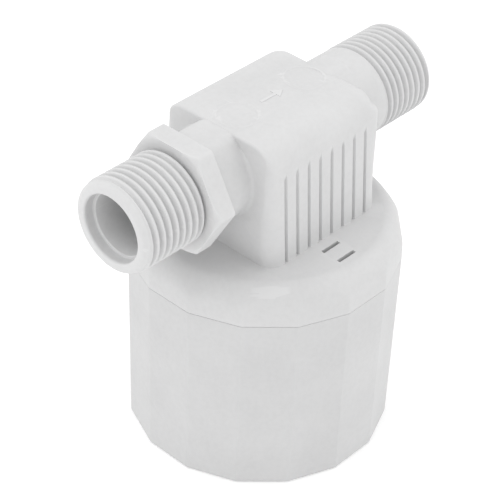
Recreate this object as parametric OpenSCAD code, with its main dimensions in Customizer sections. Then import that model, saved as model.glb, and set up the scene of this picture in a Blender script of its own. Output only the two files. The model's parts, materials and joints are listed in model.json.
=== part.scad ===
// Straight-through float valve for keeping the water level in a tank.
// The frame has +Z up and the origin at the centre of the cup's underside.
// +X runs along the pipe from the inlet, at the -X end, to the outlet.

/* [Cup and cap] */
// Corner radius of the sixteen-sided cup at its base
cup_base_r = 30.1; // [25:0.1:40]
// Corner radius of the cup at its rim
cup_rim_r = 30.5; // [25:0.1:40]
// Height of the parting line between the cup and the cap
seam_z = 45.3; // [30:0.1:60]
// Height of the cap's flat top
cap_top_z = 54.5; // [45:0.1:70]
// Thickness of the cup's floor
cup_floor_t = 2.2; // [1:0.1:4]
// Inside radius of the cup
cup_in_r = 27.9; // [22:0.1:36]
// Radius of the rounding between the cap's top and its sides
shoulder_r = 6.0; // [3:0.1:9]
// Thickness of the cap's top plate
cap_plate_t = 2.2; // [1.5:0.1:4]

/* [Block] */
// Length of the ribbed block along the pipe
block_l = 34.6; // [30:0.1:38]
// Place of the block's middle along the pipe
block_mid_x = 1.2; // [-1:0.1:3]
// Width of the block across its upper part
block_w = 29.7; // [22:0.1:40]
// Width of the block at its foot
block_foot_w = 33.0; // [24:0.1:44]
// Height of the block's flat top
block_top_z = 83.15; // [70:0.05:100]
// Radius of the block's two long upper edges
block_edge_r = 5.9; // [2:0.1:9]
// Radius of the block's upright corners
block_corner_r = 3.2; // [1:0.1:6]
// Number of grooves on each side of the block
groove_count = 8; // [4:1:12]
// Distance between neighbouring grooves
groove_pitch = 3.57; // [2.5:0.01:5]
// Place of the groove pattern's middle along the pipe
groove_mid_x = 1.1; // [-4:0.1:4]

/* [Pipe ends] */
// Height of the pipe's axis
pipe_z = 72.6; // [60:0.1:90]
// Crest radius of the outlet's half-inch parallel pipe thread
thread_r = 10.4775; // [9:0.0005:12]
// Crest radius of the inlet's thread, moulded a little slack
inlet_thread_r = 10.3; // [8.9:0.01:12]
// Pitch of the thread
thread_pitch = 1.814; // [1:0.001:3]
// Depth of the thread
thread_depth = 1.16; // [0.6:0.01:1.6]
// Place of the inlet's end face
inlet_end_x = -46.4; // [-60:0.1:-36]
// Place of the outlet's end face
outlet_end_x = 41.6; // [32:0.1:60]
// Distance across the flats of the nipple's hexagon
hex_af = 24.0; // [20:0.1:30]
// Place of the hexagon's front face
hex_front_x = -29.6; // [-40:0.1:-24]
// Place of the hexagon's back face
hex_back_x = -24.7; // [-34:0.1:-18]
// Radius of the nipple's mouth
mouth_r = 7.6; // [5:0.1:9]
// Radius of the nipple's bore behind the mouth
inlet_bore_r = 7.0; // [4:0.1:8.5]
// Radius of the passages inside the block and of the outlet's bore
passage_r = 6.0; // [4:0.1:7.5]

/* [Main valve] */
// Radius of the opening in the valve seat
seat_bore_r = 4.5; // [3:0.1:5]
// Height of the seat's sealing lip
seat_z = 63.05; // [61:0.05:65]
// Outside radius of the piston
piston_r = 9.7; // [8:0.1:10.5]
// Inside radius of the bonnet's cylinder
cylinder_r = 10.0; // [8.3:0.1:10.8]
// Number of turns of the piston's spring
spring_turns = 2.5; // [2:0.5:4]

/* [Float] */
// Radius of the float
float_r = 23.5; // [15:0.1:25]
// Height of the float's underside when the cup is empty
float_z = 5.5; // [4:0.1:12]
// Height of the float's body
float_h = 21.0; // [12:0.1:28]
// Angle by which the lever hangs below its closed position
lever_droop = 10; // [4:0.5:14]

/* [Hidden] */
$fn = 96;
e = 0.01;
cut = 1;
overlap = 0.5;
far = 90;
press_fit = 0.02;
cup_sides = 16;
half_step = 180 / cup_sides;
seam_gap = 0.25;
cup_rim_z = seam_z - seam_gap;
shoulder_in_r = cup_rim_r - 5;
shoulder_side_r = cup_rim_r + 0.4;
cap_in_r = 26.0;
cap_under_z = cap_top_z - cap_plate_t;
lip_r = 27.6;
lip_bottom_z = 41.3;
ring_groove_z = 43.3;
ring_wire_r = 0.5;
ring_mid_r = 27.3;
ring_groove_h = 1.1;
ring_groove_in_r = 26.8;
cap_lean = 0.25;
block_room = 40;
rib_in_r = 24.6;
rib_w = 2;
rib_top_z = 38;
drain_r = 1.5;
drain_x = 14;
slot_l = 5.2;
slot_w = 0.9;
slot_x = -0.7;
slot_y = [-19.4, -23.8];
block_in_x = block_mid_x - block_l / 2;
block_out_x = block_mid_x + block_l / 2;
flat_y = block_w / 2 - block_edge_r;
edge_z = block_top_z - block_edge_r;
groove_in_y = 14.95;
groove_w = 1.0;
groove_root_w = 0.4;
boss_r = 10.0;
boss_front_x = hex_back_x + 0.1;
pad_h = 10.4;
pad_dip = 0.2;
inlet_pad_half_w = 4.2;
outlet_pad_half_w = 2.8;
outlet_pad_end_x = 20.8;
mark_x = 10.3;
mark_r = 4.8;
mark_t = 0.2;
mark_w = 0.5;
arrow_l = 3.2;
arrow_tip = 3.6;
arrow_neck = 1.2;
arrow_half_w = 1.5;
arrow_shaft_half_w = 0.35;
neck_r = 10.1;
neck_end_x = 26.3;
thread_root_w = 0.4;
thread_crest_gap_w = 1.32;
outlet_bevel = 0.9;
undercut_w = 0.6;
nose_r = 9.1;
nose_l = 1.3;
nose_top_r = 10.1;
collar_l = 0.6;
mouth_depth = 2.6;
inlet_bore_depth = 19;
hex_bevel_r = 12.6;
hex_bevel_slope = 1.4;
inlet_groove_x = -31.5;
outlet_groove_x = 39.9;
thread_count = 8;
socket_r = 8.7;
socket_end_x = -11.8;
tail_r = 8.6;
tail_end_x = -12.0;
tail_ring_x = -14.2;
tail_ring_wire_r = 0.6;
tail_ring_mid_r = 8.1;
tail_ring_groove_w = 1.3;
tail_ring_groove_d = 1.4;
inlet_wall_x = -7.0;
outlet_wall_x = -5.0;
gallery_top_z = 65.0;
gallery_r = 11.5;
slot_in_x = -11.2;
slot_in_w = 8;
seat_tube_r = 6.0;
flange_r = 14.2;
flange_top_z = 56.5;
flange_gap = 0.1;
bonnet_out_r = 11.4;
bonnet_top_z = 61.0;
bonnet_ring_top_z = 58.2;
bonnet_ring_out_r = 12.9;
bonnet_ring_wire_r = 0.72;
bonnet_ring_z = flange_top_z + 0.8;
cap_hole_r = 12.0;
pilot_tip_z = 49.8;
pilot_tip_r = 1.3;
pilot_root_r = 2.4;
pilot_boss_z = 53.0;
pilot_boss_r = 3.2;
pilot_shank_r = 1.6;
pilot_bore_r = 0.6;
slot_drop = 1;
pivot_x = 8.5;
pivot_z = 48.2;
pivot_hole_r = 1.1;
pin_r = 1.0;
ear_w = 4.4;
ear_in_y = 3.2;
ear_t = 1.5;
piston_top_z = 62.4;
piston_under_z = 61.0;
piston_skirt_z = 59.1;
piston_skirt_r = 8.4;
piston_ring_z = 59.6;
piston_ring_h = 1.0;
piston_ring_r = 9.9;
piston_ring_in_r = 9.0;
washer_r = 7.2;
washer_gap = 0.05;
washer_z = 61.9;
washer_top_z = 63.0;
bleed_r = 0.4;
bleed_x = -8.2;
rivet_r = 1.0;
rivet_head_r = 2.4;
rivet_top_r = 1.8;
rivet_head_h = 0.8;
spring_mid_r = 6.6;
spring_wire_r = 0.35;
spring_steps = 24;
lever_arm = 22;
lever_w = 5.8;
lever_t = 2.0;
lever_tail = 2.4;
pad_x = 0;
pad_r = 2.1;
pad_t = 0.86;
pad_seat_t = 0.3;
pad_z = pivot_z + lever_t / 2 - pad_seat_t;
hub_r = 2.0;
link_x = pivot_x - lever_arm * cos(lever_droop);
link_z = pivot_z - lever_arm * sin(lever_droop);
float_wall = 1.3;
float_top_z = float_z + float_h;
lid_t = 1.6;
lid_rim_h = 2.5;
stem_r = 2.2;
fork_bottom_z = 38.5;
fork_top_z = link_z + 2.1;
fork_in_y = 3.2;
fork_t = 1.4;
fork_w = 5.0;
fork_slot_r = 1.15;
fork_slot_shift = 0.35;
fork_slot_x = -0.1;
fork_base_t = 1.6;
stem_seat_z = float_top_z + 0.6;
stem_boss_t = 1.4;
stem_boss_h = 4.4;
float_edge = 1;
lid_rim_t = 1.3;
lid_fit = 0.05;
pin_end = 0.5;
screw_xy = 12.9;
screw_r = 1.45;
screw_fit = 0.05;
screw_clearance = 0.15;
screw_head_r = 2.8;
screw_head_h = 1.9;
screw_l = 9.5;
screw_edge_h = 0.8;
screw_edge = 0.5;
screw_hole_top_z = 62.5;
cross_l = 3;
cross_w = 0.6;
cross_d = 1;

// Straight-sided slab whose width changes from w0 at z0 to w1 at z1.
module tapered_slab(w0, w1, z0, z1) {
    rotate([90, 0, 0])
        linear_extrude(height = far, center = true)
            polygon([[-w0, z0], [w0, z0], [w1, z1], [-w1, z1]]);
}

// Solid with sixteen flat sides leaning outwards, corner radius r0 at z0.
module faceted_solid(r0, r1, z0, z1) {
    apothem = cos(half_step);
    intersection_for (i = [0 : cup_sides / 2 - 1])
        rotate([0, 0, 2 * half_step * i])
            tapered_slab(r0 * apothem, r1 * apothem, z0, z1);
}

// Corner radius of the cup's wall carried on to height z.
function wall_r(z) = cup_base_r + (cup_rim_r - cup_base_r) * z / seam_z;

// Lays a shape drawn around Z along the pipe's axis.
module along_pipe(x = 0) {
    translate([x, 0, pipe_z])
        rotate([0, 90, 0])
            children();
}

// Ring-shaped thread grooves in a crest of radius r. The first is centred on x
// and the rest follow towards the inlet.
module thread_grooves(r, x) {
    root_r = r - thread_depth;
    half_root = thread_root_w / 2;
    half_top = thread_crest_gap_w / 2;
    translate([0, 0, pipe_z])
        rotate([0, 90, 0])
            rotate_extrude()
                for (i = [0 : thread_count - 1])
                    translate([0, x - i * thread_pitch])
                        polygon([
                            [root_r, -half_root],
                            [root_r, half_root],
                            [r + e, half_top],
                            [r + cut, half_top],
                            [r + cut, -half_top],
                            [r + e, -half_top],
                        ]);
}

// Outline of the block seen along the pipe.
module block_outline() {
    polygon([
        [-block_foot_w / 2, cap_top_z],
        [block_foot_w / 2, cap_top_z],
        [block_w / 2, edge_z],
        [-block_w / 2, edge_z],
    ]);
    translate([-flat_y, edge_z - e])
        square([2 * flat_y, block_edge_r + e]);
    for (s = [-1, 1])
        translate([s * flat_y, edge_z])
            circle(r = block_edge_r);
}

// Rectangle with rounded corners.
module rounded_plan(l, w, r) {
    square([l, w - 2 * r], center = true);
    square([l - 2 * r, w], center = true);
    for (sx = [-1, 1], sy = [-1, 1])
        translate([sx * (l / 2 - r), sy * (w / 2 - r)])
            circle(r = r);
}

module block_solid() {
    intersection() {
        translate([block_in_x, 0, 0])
            rotate([90, 0, 90])
                linear_extrude(height = block_l)
                    block_outline();
        translate([block_mid_x, 0, cap_top_z])
            linear_extrude(height = block_room)
                rounded_plan(block_l, block_foot_w, block_corner_r);
    }
}

// One upright groove, deepest at the block's foot and fading out above.
module groove() {
    linear_extrude(height = edge_z - cap_top_z + e)
        polygon([
            [-groove_root_w / 2, groove_in_y],
            [groove_root_w / 2, groove_in_y],
            [groove_w / 2, block_foot_w / 2 + cut],
            [-groove_w / 2, block_foot_w / 2 + cut],
        ]);
}

module side_grooves() {
    for (s = [-1, 1], i = [0 : groove_count - 1])
        translate([
            groove_mid_x + (i - (groove_count - 1) / 2) * groove_pitch,
            0,
            cap_top_z - e,
        ])
            scale([1, s, 1])
                groove();
}

// Plain raised rings and a flow arrow on the block's top.
module top_marks() {
    for (s = [-1, 1])
        translate([s * mark_x, 0, block_top_z - e])
            difference() {
                cylinder(r = mark_r, h = mark_t + e);
                translate([0, 0, -e])
                    cylinder(r = mark_r - mark_w, h = mark_t + cut);
            }
    translate([0, 0, block_top_z - e])
        linear_extrude(height = mark_t + e)
            polygon([
                [-arrow_l, -arrow_shaft_half_w],
                [arrow_neck, -arrow_shaft_half_w],
                [arrow_neck, -arrow_half_w],
                [arrow_tip, 0],
                [arrow_neck, arrow_half_w],
                [arrow_neck, arrow_shaft_half_w],
                [-arrow_l, arrow_shaft_half_w],
            ]);
}

// Flat-topped pad on a pipe of radius r, from x0 to x1. Its sides run down into
// the pipe's wall.
module pipe_pad(half_w, r, x0, x1) {
    root_r = r - pad_dip;
    lean = atan2(half_w, pad_h) + acos(r / norm([half_w, pad_h]));
    translate([x0, 0, pipe_z])
        rotate([90, 0, 90])
            linear_extrude(height = x1 - x0)
                polygon([
                    [-half_w, pad_h],
                    [half_w, pad_h],
                    [root_r * sin(lean), root_r * cos(lean)],
                    [0, 0],
                    [-root_r * sin(lean), root_r * cos(lean)],
                ]);
}

// Passages for the water, from the inlet round the seat to the outlet.
module passages() {
    along_pipe(socket_end_x - e)
        cylinder(r = passage_r, h = inlet_wall_x - socket_end_x + e);
    along_pipe(outlet_wall_x)
        cylinder(r = passage_r, h = outlet_end_x - outlet_wall_x + cut);
    along_pipe(hex_back_x - cut)
        cylinder(r = socket_r, h = socket_end_x - hex_back_x + cut);
    translate([slot_in_x, -slot_in_w / 2, gallery_top_z - slot_drop])
        cube([inlet_wall_x - slot_in_x, slot_in_w, pipe_z - gallery_top_z + slot_drop]);
    difference() {
        translate([0, 0, cap_top_z])
            cylinder(r = gallery_r, h = gallery_top_z - cap_top_z);
        translate([0, 0, seat_z])
            cylinder(r = seat_tube_r, h = far);
    }
    translate([0, 0, seat_z - cut])
        cylinder(r = seat_bore_r, h = pipe_z - seat_z + cut);
    translate([0, 0, cap_top_z - cut])
        cylinder(r = bonnet_ring_out_r, h = bonnet_ring_top_z - cap_top_z + cut);
    translate([0, 0, cap_top_z - cut])
        cylinder(r = flange_r + flange_gap, h = flange_top_z - cap_top_z + cut);
}

module valve_body() {
    bevel_x = outlet_end_x - outlet_bevel;
    color([0.86, 0.86, 0.87])
    difference() {
        union() {
            block_solid();
            top_marks();
            along_pipe(boss_front_x)
                cylinder(r = boss_r, h = block_in_x - boss_front_x + cut);
            along_pipe(block_out_x - cut)
                cylinder(r = neck_r, h = neck_end_x - block_out_x + cut + e);
            along_pipe(neck_end_x)
                cylinder(r = thread_r, h = bevel_x - neck_end_x);
            along_pipe(bevel_x)
                cylinder(r1 = thread_r, r2 = thread_r - outlet_bevel, h = outlet_bevel);
            pipe_pad(inlet_pad_half_w, boss_r, boss_front_x, block_in_x + cut);
            pipe_pad(outlet_pad_half_w, neck_r, block_out_x - cut, outlet_pad_end_x);
        }
        thread_grooves(thread_r, outlet_groove_x);
        side_grooves();
        passages();
        for (sx = [-1, 1], sy = [-1, 1])
            translate([sx * screw_xy, sy * screw_xy, cap_top_z - cut])
                cylinder(r = screw_r + screw_fit, h = screw_hole_top_z - cap_top_z + cut);
    }
}

// Hexagon of the nipple, bevelled on the side that faces the thread.
module nipple_hex() {
    hex_l = hex_back_x - hex_front_x;
    intersection() {
        along_pipe(hex_front_x)
            rotate([0, 0, 90])
                cylinder(r = hex_af / 2 / cos(30), h = hex_l, $fn = 6);
        along_pipe(hex_front_x)
            cylinder(r1 = hex_bevel_r, r2 = hex_bevel_r + hex_bevel_slope * hex_l, h = hex_l);
    }
}

module inlet_nipple() {
    nose_end_x = inlet_end_x + nose_l;
    crest_x = nose_end_x + collar_l;
    crest_end_x = hex_front_x - undercut_w;
    color([0.87, 0.87, 0.88])
    difference() {
        union() {
            along_pipe(inlet_end_x)
                cylinder(r1 = nose_r, r2 = nose_top_r, h = nose_l);
            along_pipe(nose_end_x - e)
                cylinder(r = nose_top_r, h = collar_l + overlap);
            along_pipe(crest_x)
                cylinder(r = inlet_thread_r, h = crest_end_x - crest_x);
            along_pipe(crest_end_x - e)
                cylinder(r = inlet_thread_r - thread_depth, h = undercut_w + overlap);
            nipple_hex();
            along_pipe(hex_back_x - cut)
                cylinder(r = tail_r, h = tail_end_x - hex_back_x + cut);
        }
        thread_grooves(inlet_thread_r, inlet_groove_x);
        along_pipe(inlet_end_x - cut)
            cylinder(r = mouth_r, h = mouth_depth + cut);
        along_pipe(inlet_end_x - cut)
            cylinder(r = inlet_bore_r, h = inlet_bore_depth + cut);
        along_pipe(inlet_end_x - cut)
            cylinder(r = passage_r, h = tail_end_x - inlet_end_x + 2 * cut);
        along_pipe(tail_ring_x)
            rotate_extrude()
                translate([tail_ring_mid_r, 0])
                    square([tail_ring_groove_d, tail_ring_groove_w], center = true);
    }
}

module nipple_oring() {
    color([0.12, 0.12, 0.13])
    along_pipe(tail_ring_x)
        rotate_extrude()
            translate([tail_ring_mid_r, 0])
                circle(r = tail_ring_wire_r);
}

// Ear that carries one end of the lever's pivot pin.
module pivot_ear() {
    rotate([90, 0, 0])
        linear_extrude(height = ear_t, center = true)
            difference() {
                union() {
                    translate([pivot_x - ear_w / 2, pivot_z])
                        square([ear_w, cap_top_z - pivot_z + overlap]);
                    translate([pivot_x, pivot_z])
                        circle(r = ear_w / 2);
                }
                translate([pivot_x, pivot_z])
                    circle(r = pivot_hole_r);
            }
}

module pilot_bonnet() {
    color([0.80, 0.81, 0.83])
    difference() {
        union() {
            translate([0, 0, cap_top_z])
                cylinder(r = flange_r, h = flange_top_z - cap_top_z);
            translate([0, 0, cap_top_z])
                cylinder(r = bonnet_out_r, h = bonnet_top_z - cap_top_z);
            translate([0, 0, pilot_boss_z])
                cylinder(r = pilot_boss_r, h = cap_top_z - pilot_boss_z + e);
            for (s = [-1, 1])
                translate([0, s * (ear_in_y + ear_t / 2), 0])
                    pivot_ear();
        }
        translate([0, 0, flange_top_z])
            cylinder(r = cylinder_r, h = far);
        translate([0, 0, pilot_boss_z - cut])
            cylinder(r = pilot_shank_r + press_fit, h = far);
    }
}

// Drilled nozzle pressed into the bonnet's boss. The lever's pad closes its tip.
module pilot_nozzle() {
    color([0.74, 0.60, 0.34])
    difference() {
        union() {
            translate([0, 0, pilot_tip_z])
                cylinder(r1 = pilot_tip_r, r2 = pilot_root_r, h = pilot_boss_z - pilot_tip_z);
            translate([0, 0, pilot_boss_z - e])
                cylinder(r = pilot_shank_r, h = flange_top_z - pilot_boss_z + e);
        }
        translate([0, 0, pilot_tip_z - cut])
            cylinder(r = pilot_bore_r, h = far);
    }
}

module bonnet_oring() {
    color([0.12, 0.12, 0.13])
    translate([0, 0, bonnet_ring_z])
        rotate_extrude()
            translate([(bonnet_out_r + bonnet_ring_out_r) / 2, 0])
                circle(r = bonnet_ring_wire_r);
}

module piston() {
    color([0.90, 0.90, 0.90])
    difference() {
        translate([0, 0, piston_skirt_z])
            cylinder(r = piston_r, h = piston_top_z - piston_skirt_z);
        translate([0, 0, piston_skirt_z - e])
            cylinder(r = piston_skirt_r, h = piston_under_z - piston_skirt_z + e);
        translate([0, 0, washer_z])
            cylinder(r = washer_r, h = far);
        translate([bleed_x, 0, piston_skirt_z])
            cylinder(r = bleed_r, h = far);
        translate([0, 0, piston_under_z - cut])
            cylinder(r = rivet_r + press_fit, h = far);
        translate([0, 0, piston_ring_z])
            difference() {
                cylinder(r = piston_r + cut, h = piston_ring_h);
                translate([0, 0, -cut])
                    cylinder(r = piston_ring_in_r, h = far);
            }
    }
}

module piston_ring() {
    color([0.12, 0.12, 0.13])
    translate([0, 0, piston_ring_z])
        difference() {
            cylinder(r = piston_ring_r, h = piston_ring_h);
            translate([0, 0, -cut])
                cylinder(r = piston_ring_in_r, h = far);
        }
}

module piston_washer() {
    color([0.12, 0.12, 0.13])
    translate([0, 0, washer_z])
        difference() {
            cylinder(r = washer_r - washer_gap, h = washer_top_z - washer_z);
            translate([0, 0, -cut])
                cylinder(r = rivet_r + press_fit, h = far);
        }
}

// Rivet that holds the seat washer on the piston.
module washer_rivet() {
    color([0.88, 0.88, 0.86])
    union() {
        translate([0, 0, piston_under_z])
            cylinder(r = rivet_r, h = washer_top_z - piston_under_z + e);
        translate([0, 0, washer_top_z])
            cylinder(r1 = rivet_head_r, r2 = rivet_top_r, h = rivet_head_h);
    }
}

// Coil spring between the bonnet's floor and the piston.
module piston_spring() {
    z0 = flange_top_z + spring_wire_r;
    z1 = piston_under_z - spring_wire_r;
    n = spring_turns * spring_steps;
    color([0.70, 0.71, 0.72])
    for (i = [0 : n - 1])
        hull() {
            for (k = [i, i + 1])
                rotate([0, 0, k * 360 / spring_steps])
                    translate([spring_mid_r, 0, z0 + (z1 - z0) * k / n])
                        sphere(r = spring_wire_r, $fn = 8);
        }
}

// Cross-section of the cap's outside, with its rounded shoulder.
module cap_outline() {
    shoulder_z = cap_top_z - shoulder_r;
    reach = shoulder_side_r - shoulder_in_r;
    side_z = shoulder_z + sqrt(shoulder_r * shoulder_r - reach * reach);
    square([shoulder_in_r, cap_top_z]);
    square([shoulder_side_r, side_z]);
    intersection() {
        translate([shoulder_in_r, shoulder_z])
            circle(r = shoulder_r);
        square([shoulder_side_r, cap_top_z]);
    }
}

module cap() {
    color([0.85, 0.85, 0.86])
    difference() {
        union() {
            intersection() {
                faceted_solid(
                    wall_r(seam_z),
                    wall_r(seam_z) - cap_lean,
                    seam_z,
                    cap_top_z + cut
                );
                rotate_extrude()
                    cap_outline();
            }
            translate([0, 0, lip_bottom_z])
                cylinder(r = lip_r, h = seam_z - lip_bottom_z + cut);
        }
        translate([0, 0, lip_bottom_z - cut])
            cylinder(r = cap_in_r, h = cap_under_z - lip_bottom_z + cut);
        translate([0, 0, cap_under_z - cut])
            cylinder(r = cap_hole_r, h = far);
        translate([0, 0, ring_groove_z])
            rotate_extrude()
                translate([ring_groove_in_r, -ring_groove_h / 2])
                    square([lip_r + cut - ring_groove_in_r, ring_groove_h]);
        for (y = slot_y)
            translate([slot_x - slot_l / 2, y - slot_w / 2, cap_under_z - cut])
                cube([slot_l, slot_w, cap_plate_t + 2 * cut]);
        for (sx = [-1, 1], sy = [-1, 1])
            translate([sx * screw_xy, sy * screw_xy, cap_under_z - cut])
                cylinder(r = screw_r + screw_clearance, h = cap_plate_t + 2 * cut);
    }
}

module cap_oring() {
    color([0.12, 0.12, 0.13])
    translate([0, 0, ring_groove_z])
        rotate_extrude()
            translate([ring_mid_r, 0])
                circle(r = ring_wire_r);
}

// Pan-head screws driven up through the cap into the block.
module cap_screws() {
    color([0.72, 0.73, 0.74])
    for (sx = [-1, 1], sy = [-1, 1])
        translate([sx * screw_xy, sy * screw_xy, cap_under_z])
            difference() {
                union() {
                    cylinder(r = screw_r, h = screw_l);
                    translate([0, 0, -screw_head_h])
                        cylinder(r1 = screw_head_r - screw_edge, r2 = screw_head_r, h = screw_edge_h);
                    translate([0, 0, screw_edge_h - screw_head_h])
                        cylinder(r = screw_head_r, h = screw_head_h - screw_edge_h);
                }
                for (a = [0, 90])
                    rotate([0, 0, a])
                        translate([-cross_l / 2, -cross_w / 2, -screw_head_h - cut])
                            cube([cross_l, cross_w, cross_d + cut]);
            }
}

// Turns a shape drawn with the lever closed down to its hanging position.
module hanging() {
    translate([pivot_x, 0, pivot_z])
        rotate([0, -lever_droop, 0])
            translate([-pivot_x, 0, -pivot_z])
                children();
}

module lever() {
    color([0.88, 0.88, 0.86])
    hanging()
        difference() {
            union() {
                translate([pivot_x - lever_arm, -lever_w / 2, pivot_z - lever_t / 2])
                    cube([lever_arm + lever_tail, lever_w, lever_t]);
                for (x = [pivot_x, pivot_x - lever_arm])
                    translate([x, 0, pivot_z])
                        rotate([90, 0, 0])
                            cylinder(r = hub_r, h = lever_w, center = true);
            }
            for (x = [pivot_x, pivot_x - lever_arm])
                translate([x, 0, pivot_z])
                    rotate([90, 0, 0])
                        cylinder(r = pin_r + press_fit, h = far, center = true);
            translate([pad_x, 0, pad_z])
                cylinder(r = pad_r, h = far);
        }
}

module lever_pad() {
    color([0.12, 0.12, 0.13])
    hanging()
        translate([pad_x, 0, pad_z])
            cylinder(r = pad_r, h = pad_t);
}

module pivot_pin() {
    color([0.74, 0.75, 0.76])
    translate([pivot_x, 0, pivot_z])
        rotate([90, 0, 0])
            cylinder(r = pin_r, h = 2 * (ear_in_y + ear_t + pin_end), center = true);
}

module link_pin() {
    color([0.74, 0.75, 0.76])
    translate([link_x, 0, link_z])
        rotate([90, 0, 0])
            cylinder(r = pin_r, h = 2 * (fork_in_y + fork_t + pin_end), center = true);
}

module float_shell() {
    color([0.92, 0.92, 0.90])
    translate([0, 0, float_z])
        difference() {
            union() {
                cylinder(r1 = float_r - float_edge, r2 = float_r, h = float_edge);
                translate([0, 0, float_edge])
                    cylinder(r = float_r, h = float_h - float_edge);
            }
            translate([0, 0, float_wall])
                cylinder(r = float_r - float_wall, h = float_h);
        }
}

module float_lid() {
    inner_r = float_r - float_wall - lid_fit;
    color([0.90, 0.90, 0.88])
    difference() {
        union() {
            translate([0, 0, float_top_z])
                cylinder(r = float_r, h = lid_t);
            translate([0, 0, float_top_z - lid_rim_h])
                cylinder(r = inner_r, h = lid_rim_h + e);
            translate([link_x, 0, float_top_z])
                cylinder(r = stem_r + stem_boss_t, h = stem_boss_h);
        }
        translate([0, 0, float_top_z - lid_rim_h - cut])
            cylinder(r = inner_r - lid_rim_t, h = lid_rim_h + cut);
        translate([link_x, 0, stem_seat_z])
            cylinder(r = stem_r + press_fit, h = far);
    }
}

// Upright stem whose fork holds the pin at the lever's end.
module float_stem() {
    color([0.88, 0.88, 0.86])
    translate([link_x, 0, 0])
        difference() {
            union() {
                translate([0, 0, stem_seat_z])
                    cylinder(r = stem_r, h = fork_bottom_z - stem_seat_z + overlap);
                translate([-fork_w / 2, -fork_in_y - fork_t, fork_bottom_z])
                    cube([fork_w, 2 * (fork_in_y + fork_t), fork_top_z - fork_bottom_z]);
            }
            translate([-fork_w, -fork_in_y, fork_bottom_z + fork_base_t])
                cube([2 * fork_w, 2 * fork_in_y, far]);
            for (s = [-1, 1])
                translate([s * fork_slot_shift + fork_slot_x, 0, link_z])
                    rotate([90, 0, 0])
                        cylinder(r = fork_slot_r, h = far, center = true);
            translate([fork_slot_x - fork_slot_shift, -far / 2, link_z - fork_slot_r])
                cube([2 * fork_slot_shift, far, 2 * fork_slot_r]);
        }
}

module cup() {
    color([0.86, 0.86, 0.87])
    difference() {
        union() {
            difference() {
                faceted_solid(cup_base_r, wall_r(cup_rim_z), 0, cup_rim_z);
                translate([0, 0, cup_floor_t])
                    cylinder(r = cup_in_r, h = far);
            }
            for (a = [45 : 90 : 315])
                rotate([0, 0, a])
                    translate([rib_in_r, -rib_w / 2, cup_floor_t - overlap])
                        cube([cup_in_r - rib_in_r + overlap, rib_w, rib_top_z - cup_floor_t + overlap]);
        }
        translate([drain_x, 0, -cut])
            cylinder(r = drain_r, h = cup_floor_t + 2 * cut);
    }
}

valve_body();
inlet_nipple();
nipple_oring();
pilot_bonnet();
pilot_nozzle();
bonnet_oring();
piston();
piston_ring();
piston_washer();
washer_rivet();
piston_spring();
cap();
cap_oring();
cap_screws();
lever();
lever_pad();
pivot_pin();
link_pin();
float_shell();
float_lid();
float_stem();
cup();
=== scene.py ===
import json
import math

import bmesh
import bpy
import numpy as np
from mathutils import Matrix, Vector


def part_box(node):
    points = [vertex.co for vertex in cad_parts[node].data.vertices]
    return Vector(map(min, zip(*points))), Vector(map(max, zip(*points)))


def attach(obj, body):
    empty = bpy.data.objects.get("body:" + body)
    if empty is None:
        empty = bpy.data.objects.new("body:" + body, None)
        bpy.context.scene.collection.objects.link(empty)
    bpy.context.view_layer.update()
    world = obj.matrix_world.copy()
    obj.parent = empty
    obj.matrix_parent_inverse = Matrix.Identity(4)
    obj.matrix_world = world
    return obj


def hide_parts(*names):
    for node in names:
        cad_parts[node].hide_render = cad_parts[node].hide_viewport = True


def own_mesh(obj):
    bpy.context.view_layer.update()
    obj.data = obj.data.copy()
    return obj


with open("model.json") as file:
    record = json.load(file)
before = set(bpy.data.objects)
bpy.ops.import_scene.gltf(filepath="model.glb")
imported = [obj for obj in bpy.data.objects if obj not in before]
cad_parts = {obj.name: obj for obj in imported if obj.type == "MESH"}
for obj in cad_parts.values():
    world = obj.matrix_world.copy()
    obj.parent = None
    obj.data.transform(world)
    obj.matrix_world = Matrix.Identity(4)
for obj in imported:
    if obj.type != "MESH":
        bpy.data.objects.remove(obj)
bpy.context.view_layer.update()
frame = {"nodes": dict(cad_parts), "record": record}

# Lengths in this script are in millimetres, and MM turns them into metres.
MM = 0.001

# Driving dimensions read from the frame.
BODY_HIGH = np.array(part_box("valve_body")[1]) / MM
NIPPLE_LOW, NIPPLE_HIGH = (np.array(c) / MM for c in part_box("inlet_nipple"))
CAP_LOW, CAP_HIGH = (np.array(c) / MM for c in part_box("cap"))
PIPE_Z = (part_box("nipple_oring")[0][2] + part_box("nipple_oring")[1][2]) / 2 / MM
SPRING_LOW, SPRING_HIGH = (np.array(c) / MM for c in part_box("piston_spring"))
SHELL_LOW, SHELL_HIGH = (np.array(c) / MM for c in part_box("float_shell"))
LID_LOW, LID_HIGH = (np.array(c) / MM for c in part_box("float_lid"))
STEM_LOW, STEM_HIGH = (np.array(c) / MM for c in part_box("float_stem"))

# Cup and cap
SIDES = 16
HALF_STEP = math.pi / SIDES
CUP_CORNER_R = 1.3
CUP_BASE_R = 30.1
CUP_RIM_R = 30.5
SEAM_Z = 45.3
SEAM_GAP = 0.06
SEAM_EDGE_R = 0.12
CUP_FLOOR_Z = 2.2
CUP_IN_R = 27.9
DRAIN_R = 1.5
DRAIN_X = 14.0
RIB_IN_R = 24.6
RIB_W = 2.0
RIB_TOP_Z = 38.0
RIB_COUNT = 4
CAP_TOP_Z = CAP_HIGH[2]
CAP_PLATE_T = 2.2
CAP_IN_R = 26.0
CAP_HOLE_R = 12.0
LIP_R = 27.6
SHOULDER_H = 5.6
SHOULDER_W = 5.0
SHOULDER_IN_R = CUP_RIM_R - SHOULDER_W
RING_GROOVE_Z = 43.3
RING_GROOVE_R = 26.85
RING_GROOVE_HALF = 0.55
SLOT_X = -0.7
SLOT_YS = (-19.4, -23.8)
SLOT_L = 5.2
SLOT_W = 0.9
SLOT_CORNER_R = 0.12
SCREW_XY = 12.9
SCREW_HOLE_R = 1.6

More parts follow.
